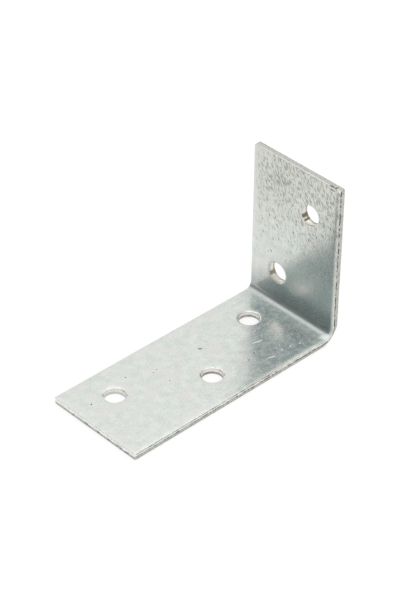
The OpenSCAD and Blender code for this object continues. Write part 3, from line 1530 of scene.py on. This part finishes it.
@dataclass(frozen=True)
class Studio:
    """White floor, soft light all round with one open, darker side, and the camera.

    Attributes:
        azimuth: Direction of the camera round the bracket, in degrees.
        elevation: Its height above the floor, in degrees.
        roll: How far it is turned about its own axis, in degrees.
        distance: Its distance from the target.
        target: The place that it looks at.
        lens: Its focal length in millimetres.
        floor_half: Half the width of the floor.
        floor_level: Height of the floor, a hair below the bracket.
        floor_paint: The floor's paint.
        floor_glow: Light that the floor gives of its own.
        floor_lift: How much lighter it is to the eye and in mirrors than it lights.
        open_azimuth: Direction of the studio's open side, in degrees from +X towards +Y.
        open_towards: Cosine of the angle to that direction where it starts, and where it is full.
        open_beside: The same beside that direction.
        open_height: The same for height.
        open_low: Colour of the open side near the floor.
        open_high: Its colour further up.
        open_rise: Fade from the one colour to the other over the height.
        overhead: Height where the light from overhead starts to grow, height where it is full,
            and its strength at both.
    """

    azimuth: float = -43.812
    elevation: float = 36.737
    roll: float = 0.586
    distance: float = 603.4 * MM
    target: tuple[float, float, float] = (8.18 * MM, 7.92 * MM, 15.24 * MM)
    lens: float = 133.2426
    floor_half: float = 3.0
    floor_level: float = -0.01 * MM
    floor_paint: str = "#8C8C8C"
    floor_glow: float = 0.51
    floor_lift: float = 0.25
    open_azimuth: float = 135.0
    open_towards: tuple[float, float] = (0.2, 0.4)
    open_beside: tuple[float, float] = (0.5, 0.32)
    open_height: tuple[float, float] = (0.74, 0.64)
    open_low: str = "#56645F"
    open_high: str = "#1E6C88"
    open_rise: Fade = (0.35, 0.58)
    overhead: tuple[float, ...] = (0.66, 0.8, 1.0, 1.3)

    def camera(self) -> None:
        """Places the camera and makes it the scene's own."""
        data = bpy.data.cameras.new("camera")
        data.lens = self.lens
        data.sensor_width = 36.0
        data.clip_start = 0.01
        data.clip_end = 10.0
        camera = bpy.data.objects.new("camera", data)
        a, e = math.radians(self.azimuth), math.radians(self.elevation)
        back = Vector((math.sin(a) * math.cos(e), -math.cos(a) * math.cos(e), math.sin(e)))
        turn = Matrix.Rotation(math.radians(self.roll), 3, "Z")
        camera.matrix_world = Matrix.LocRotScale(
            Vector(self.target) + back * self.distance,
            back.to_track_quat("Z", "Y").to_matrix() @ turn,
            None,
        )
        bpy.context.scene.collection.objects.link(camera)
        bpy.context.scene.camera = camera

    def floor(self) -> None:
        """Lays the floor, a white panel that glows. It is clear from below."""
        mesh = bpy.data.meshes.new("floor")
        corners = [(x * self.floor_half, y * self.floor_half, self.floor_level)
                   for x, y in ((-1, -1), (1, -1), (1, 1), (-1, 1))]
        mesh.from_pydata(corners, [], [(0, 1, 2, 3)])
        floor = bpy.data.objects.new("floor", mesh)
        bpy.context.scene.collection.objects.link(floor)
        material, tree = new_material("white_floor")
        add = partial(add_node, tree)
        path = add("LightPath")
        strength: Feed = self.floor_glow
        for ray in ("Is Camera Ray", "Is Glossy Ray", "Is Transmission Ray"):
            strength = add("Math", (path.outputs[ray], self.floor_lift, strength),
                           operation="MULTIPLY_ADD")
        paint = add("BsdfDiffuse", {"Color": self.floor_paint})
        glow = add("Emission", {"Strength": strength})
        lit = add("AddShader", (paint, glow))
        below = add("NewGeometry").outputs["Backfacing"]
        panel = add("MixShader", (below, lit, add("BsdfTransparent")))
        add("OutputMaterial", {"Surface": panel})
        mesh.materials.append(material)
        floor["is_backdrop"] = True

    def world(self) -> None:
        """Lights the scene from all round: brighter overhead, darker on the open side."""
        world = bpy.data.worlds.new("soft_light")
        bpy.context.scene.world = world
        world.use_nodes = True
        tree = world.node_tree
        tree.nodes.clear()
        add = partial(add_node, tree)
        a = math.radians(self.open_azimuth)
        where = add("TexCoord").outputs["Generated"]
        towards, beside = (
            add("VectorMath", (where, axis), operation="DOT_PRODUCT")
            for axis in ((math.cos(a), math.sin(a), 0.0), (math.sin(a), -math.cos(a), 0.0)))
        beside = add("Math", (beside,), operation="ABSOLUTE")
        height = add("SeparateXYZ", (where,)).outputs["Z"]
        opened = faded(tree, (towards, *self.open_towards), (beside, *self.open_beside),
                       (height, *self.open_height))
        high = faded(tree, (height, *self.open_rise))
        beyond = layered(tree, self.open_low, ((high, self.open_high),))
        sides = layered(tree, "#FFFFFF", ((opened, beyond),))
        strength = faded(tree, (height, *self.overhead))
        light = add("Background", (sides, strength))
        add("OutputWorld", {"Surface": light})

    def build(self) -> None:
        """Sets up the whole studio."""
        self.camera()
        self.floor()
        self.world()
        bpy.context.scene.view_settings.view_transform = "Standard"


# ---------------------------------------------------------------- assembly


@dataclass
class CornerBrace:
    """The bracket: its form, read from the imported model, its mesh and its finishes.

    Attributes:
        name: Name of the piece.
        through: Depth of a mark that reaches through the whole sheet, in millimetres.
        around: Half the width of a mark that covers a whole hole, in millimetres.
    """

    name: str = "corner_brace"
    through: float = 40.0
    around: float = 5.0

    def _form(self) -> FoldedStrip:
        """Reads the strip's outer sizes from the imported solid."""
        low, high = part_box(NODE)
        return FoldedStrip(leg=high.x - low.x, upright=high.z - low.z, width=high.y - low.y)

    def _holes(self, form: FoldedStrip) -> list[Hole]:
        """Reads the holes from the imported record's bores.

        Args:
            form: The strip's form.

        Returns:
            The holes on the blank.
        """
        return [
            Hole(
                form.on_blank(mount["pos_m"][0], mount["pos_m"][2]),
                mount["pos_m"][1],
                mount["dims"]["r_mm"] * MM,
            )
            for mount in frame["record"]["mounts"]
            if mount["kind"] == "bore"
        ]

    def _stains_and_painted_light(self, holes: list[Hole]) -> tuple[StainsAndPaintedLight, StainsAndPaintedLight]:
        """Places the stain and dirt marks of the punched holes, with painted shade and painted
        highlights.

        Args:
            holes: The holes.

        Returns:
            The marks of their lands and those of their breaks, the lowest ones first.
        """
        free_end, middle, bend = (
            (Mark(hole.u / MM, hole.y / MM, self.around, self.around, 0.0, self.through),)
            for hole in sorted(holes, key=lambda hole: hole.u)[:3])
        # Painted shade on the lower wall of the upright's lower hole.
        shade = (Mark(80.9, 6.9, 1.0, 1.8, 0.0, self.through),)
        brown = (
            Mark(107.3, -3.05, 0.8, 0.8, 0.0, self.through),
            Mark(106.3, -3.9, 0.45, 0.45, 0.0, self.through),
        )
        film = (Mark(82.2, 8.3, 1.0, 0.8, 0.0, self.through),)
        # Painted highlights: light crescents on the rims of the long leg's holes and light flares
        # on the walls of the upright's holes.
        glints = (
            Mark(64.7, 7.8, 1.1, 0.34, 132),
            Mark(65.5, 6.0, 1.3, 0.4, 94),
            Mark(12.9, 8.9, 1.3, 0.2, 168),
            Mark(14.9, 7.7, 1.2, 0.2, 127),
            Mark(39.5, -3.3, 0.7, 0.2, 135),
            Mark(85.5, 8.3, 1.3, 1.1, 30, self.through),
            Mark(110.5, -3.2, 1.3, 1.0, 30, self.through),
        )
        grime = (
            Mark(34.9, -3.5, 1.2, 0.14, 48),
            Mark(39.8, -7.8, 0.9, 0.12, 48),
            Mark(9.9, 7.9, 0.9, 0.12, 48),
            Mark(14.8, 3.6, 0.8, 0.12, 48),
        )
        # Stain marks and the painted shade, which the lands and the breaks share.
        both = ((shade, "#C0BEB6"), (brown, "#7C7061"), (film, "#8C8973"))
        # The lands also get the painted highlights, with grime on top.
        land = ((bend, "#DCDDD9"), (free_end, "#E0E1DC"), *both,
                (glints, "#F4F5F1"), (grime, "#6A6A62"))
        return land, ((middle, "#928F88"), (free_end, "#D2D2CC"), *both)

    def _finishes(self, form: FoldedStrip, holes: list[Hole]) -> dict[Zone, ZincFace | CutSteel]:
        """Chooses the finish of each zone.

        Args:
            form: The strip's form.
            holes: Its holes.

        Returns:
            The finishes by their zones.
        """
        fold_at, length = (form.flat_leg + form.fold_length) / MM, form.length / MM
        smudges = ((
            (Mark(length, -12.9, 0.5, 1.5, 0.0, 1.1), Mark(length, -14.2, 0.5, 0.5, 0.0, 1.7)),
            "#6E6B66"),)
        land_stains_and_light, break_stains_and_shade = self._stains_and_painted_light(holes)
        tear = {"roughness": 0.42, "relief": 0.03, "streak_size": 0.45, "through": 0.7}
        return {
            Zone.FACE: ZincFace(fold_at, length),
            Zone.LAND: CutSteel(
                "sheared_land", fold_at, length, base="#F4F4F0", streak="#C6C5BF",
                upright_tone_and_shade="#BFC0BA", torn="#4E4A42", stains_and_painted_light=smudges),
            Zone.BREAK: CutSteel(
                "sheared_break", fold_at, length, base="#BEBEB8", streak="#9E9D96",
                upright_tone_and_shade="#C2C3BD", torn="#38332D", stains_and_painted_light=smudges, **tear),
            Zone.HOLE_LAND: CutSteel(
                "punched_land", fold_at, length, base="#E9E7E0", streak="#CFCCC4",
                upright_tone_and_shade="#E2DFD6", torn="#5E584E", stains_and_painted_light=land_stains_and_light, relief=0.015,
                streak_size=0.6, through=4.0),
            Zone.HOLE_BREAK: CutSteel(
                "punched_break", fold_at, length, base="#C2C0BA", streak="#A3A19B",
                upright_tone_and_shade="#BDBBB4", torn="#8E8B85", stains_and_painted_light=break_stains_and_shade, **tear),
        }

    def build(self) -> bpy.types.Object:
        """Returns:
            The piece.
        """
        form = self._form()
        holes = self._holes(form)
        edge = ShearedEdge(form.sheet)
        rim = ShearedEdge(
            form.sheet,
            leg_roll=Roll(0.12 * MM, 1.0 * MM),
            upright_roll=Roll(0.1 * MM, 0.9 * MM),
            tail=Roll(0.09 * MM, 3.2 * MM, 3.0),
            far_roll=1.0,
            nose=0.34 * MM,
            break_depth=0.85 * MM,
            upright_break=0.6 * MM,
            free_break=0.8 * MM,
            top_break=0.6 * MM,
            step=0.0,
            lean=0.02 * MM,
            seam_dirt=0.72,
        )
        piece = StripMesher(form, edge, rim, holes).build(self.name)
        finishes = self._finishes(form, holes)
        for zone in Zone:
            piece.data.materials.append(finishes[zone].material())
        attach(piece, BODY)
        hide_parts(NODE)
        return piece


def write_sizes() -> None:
    """Works out the boxes of the CAD model and of the visual model as plain lists; it writes
    nothing.
    """
    boxes = {"cad": CAD_BOX, "visual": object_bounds()}
    plain = {key: [[float(c) for c in corner] for corner in box] for key, box in boxes.items()}


def main() -> None:
    """Builds the studio and the bracket."""
    logging.basicConfig(level=logging.INFO, format="%(name)s: %(message)s")
    Studio().build()
    piece = CornerBrace().build()
    LOG.info("%s: %d faces", piece.name, len(piece.data.polygons))
    write_sizes()


if __name__ == "__main__":
    main()
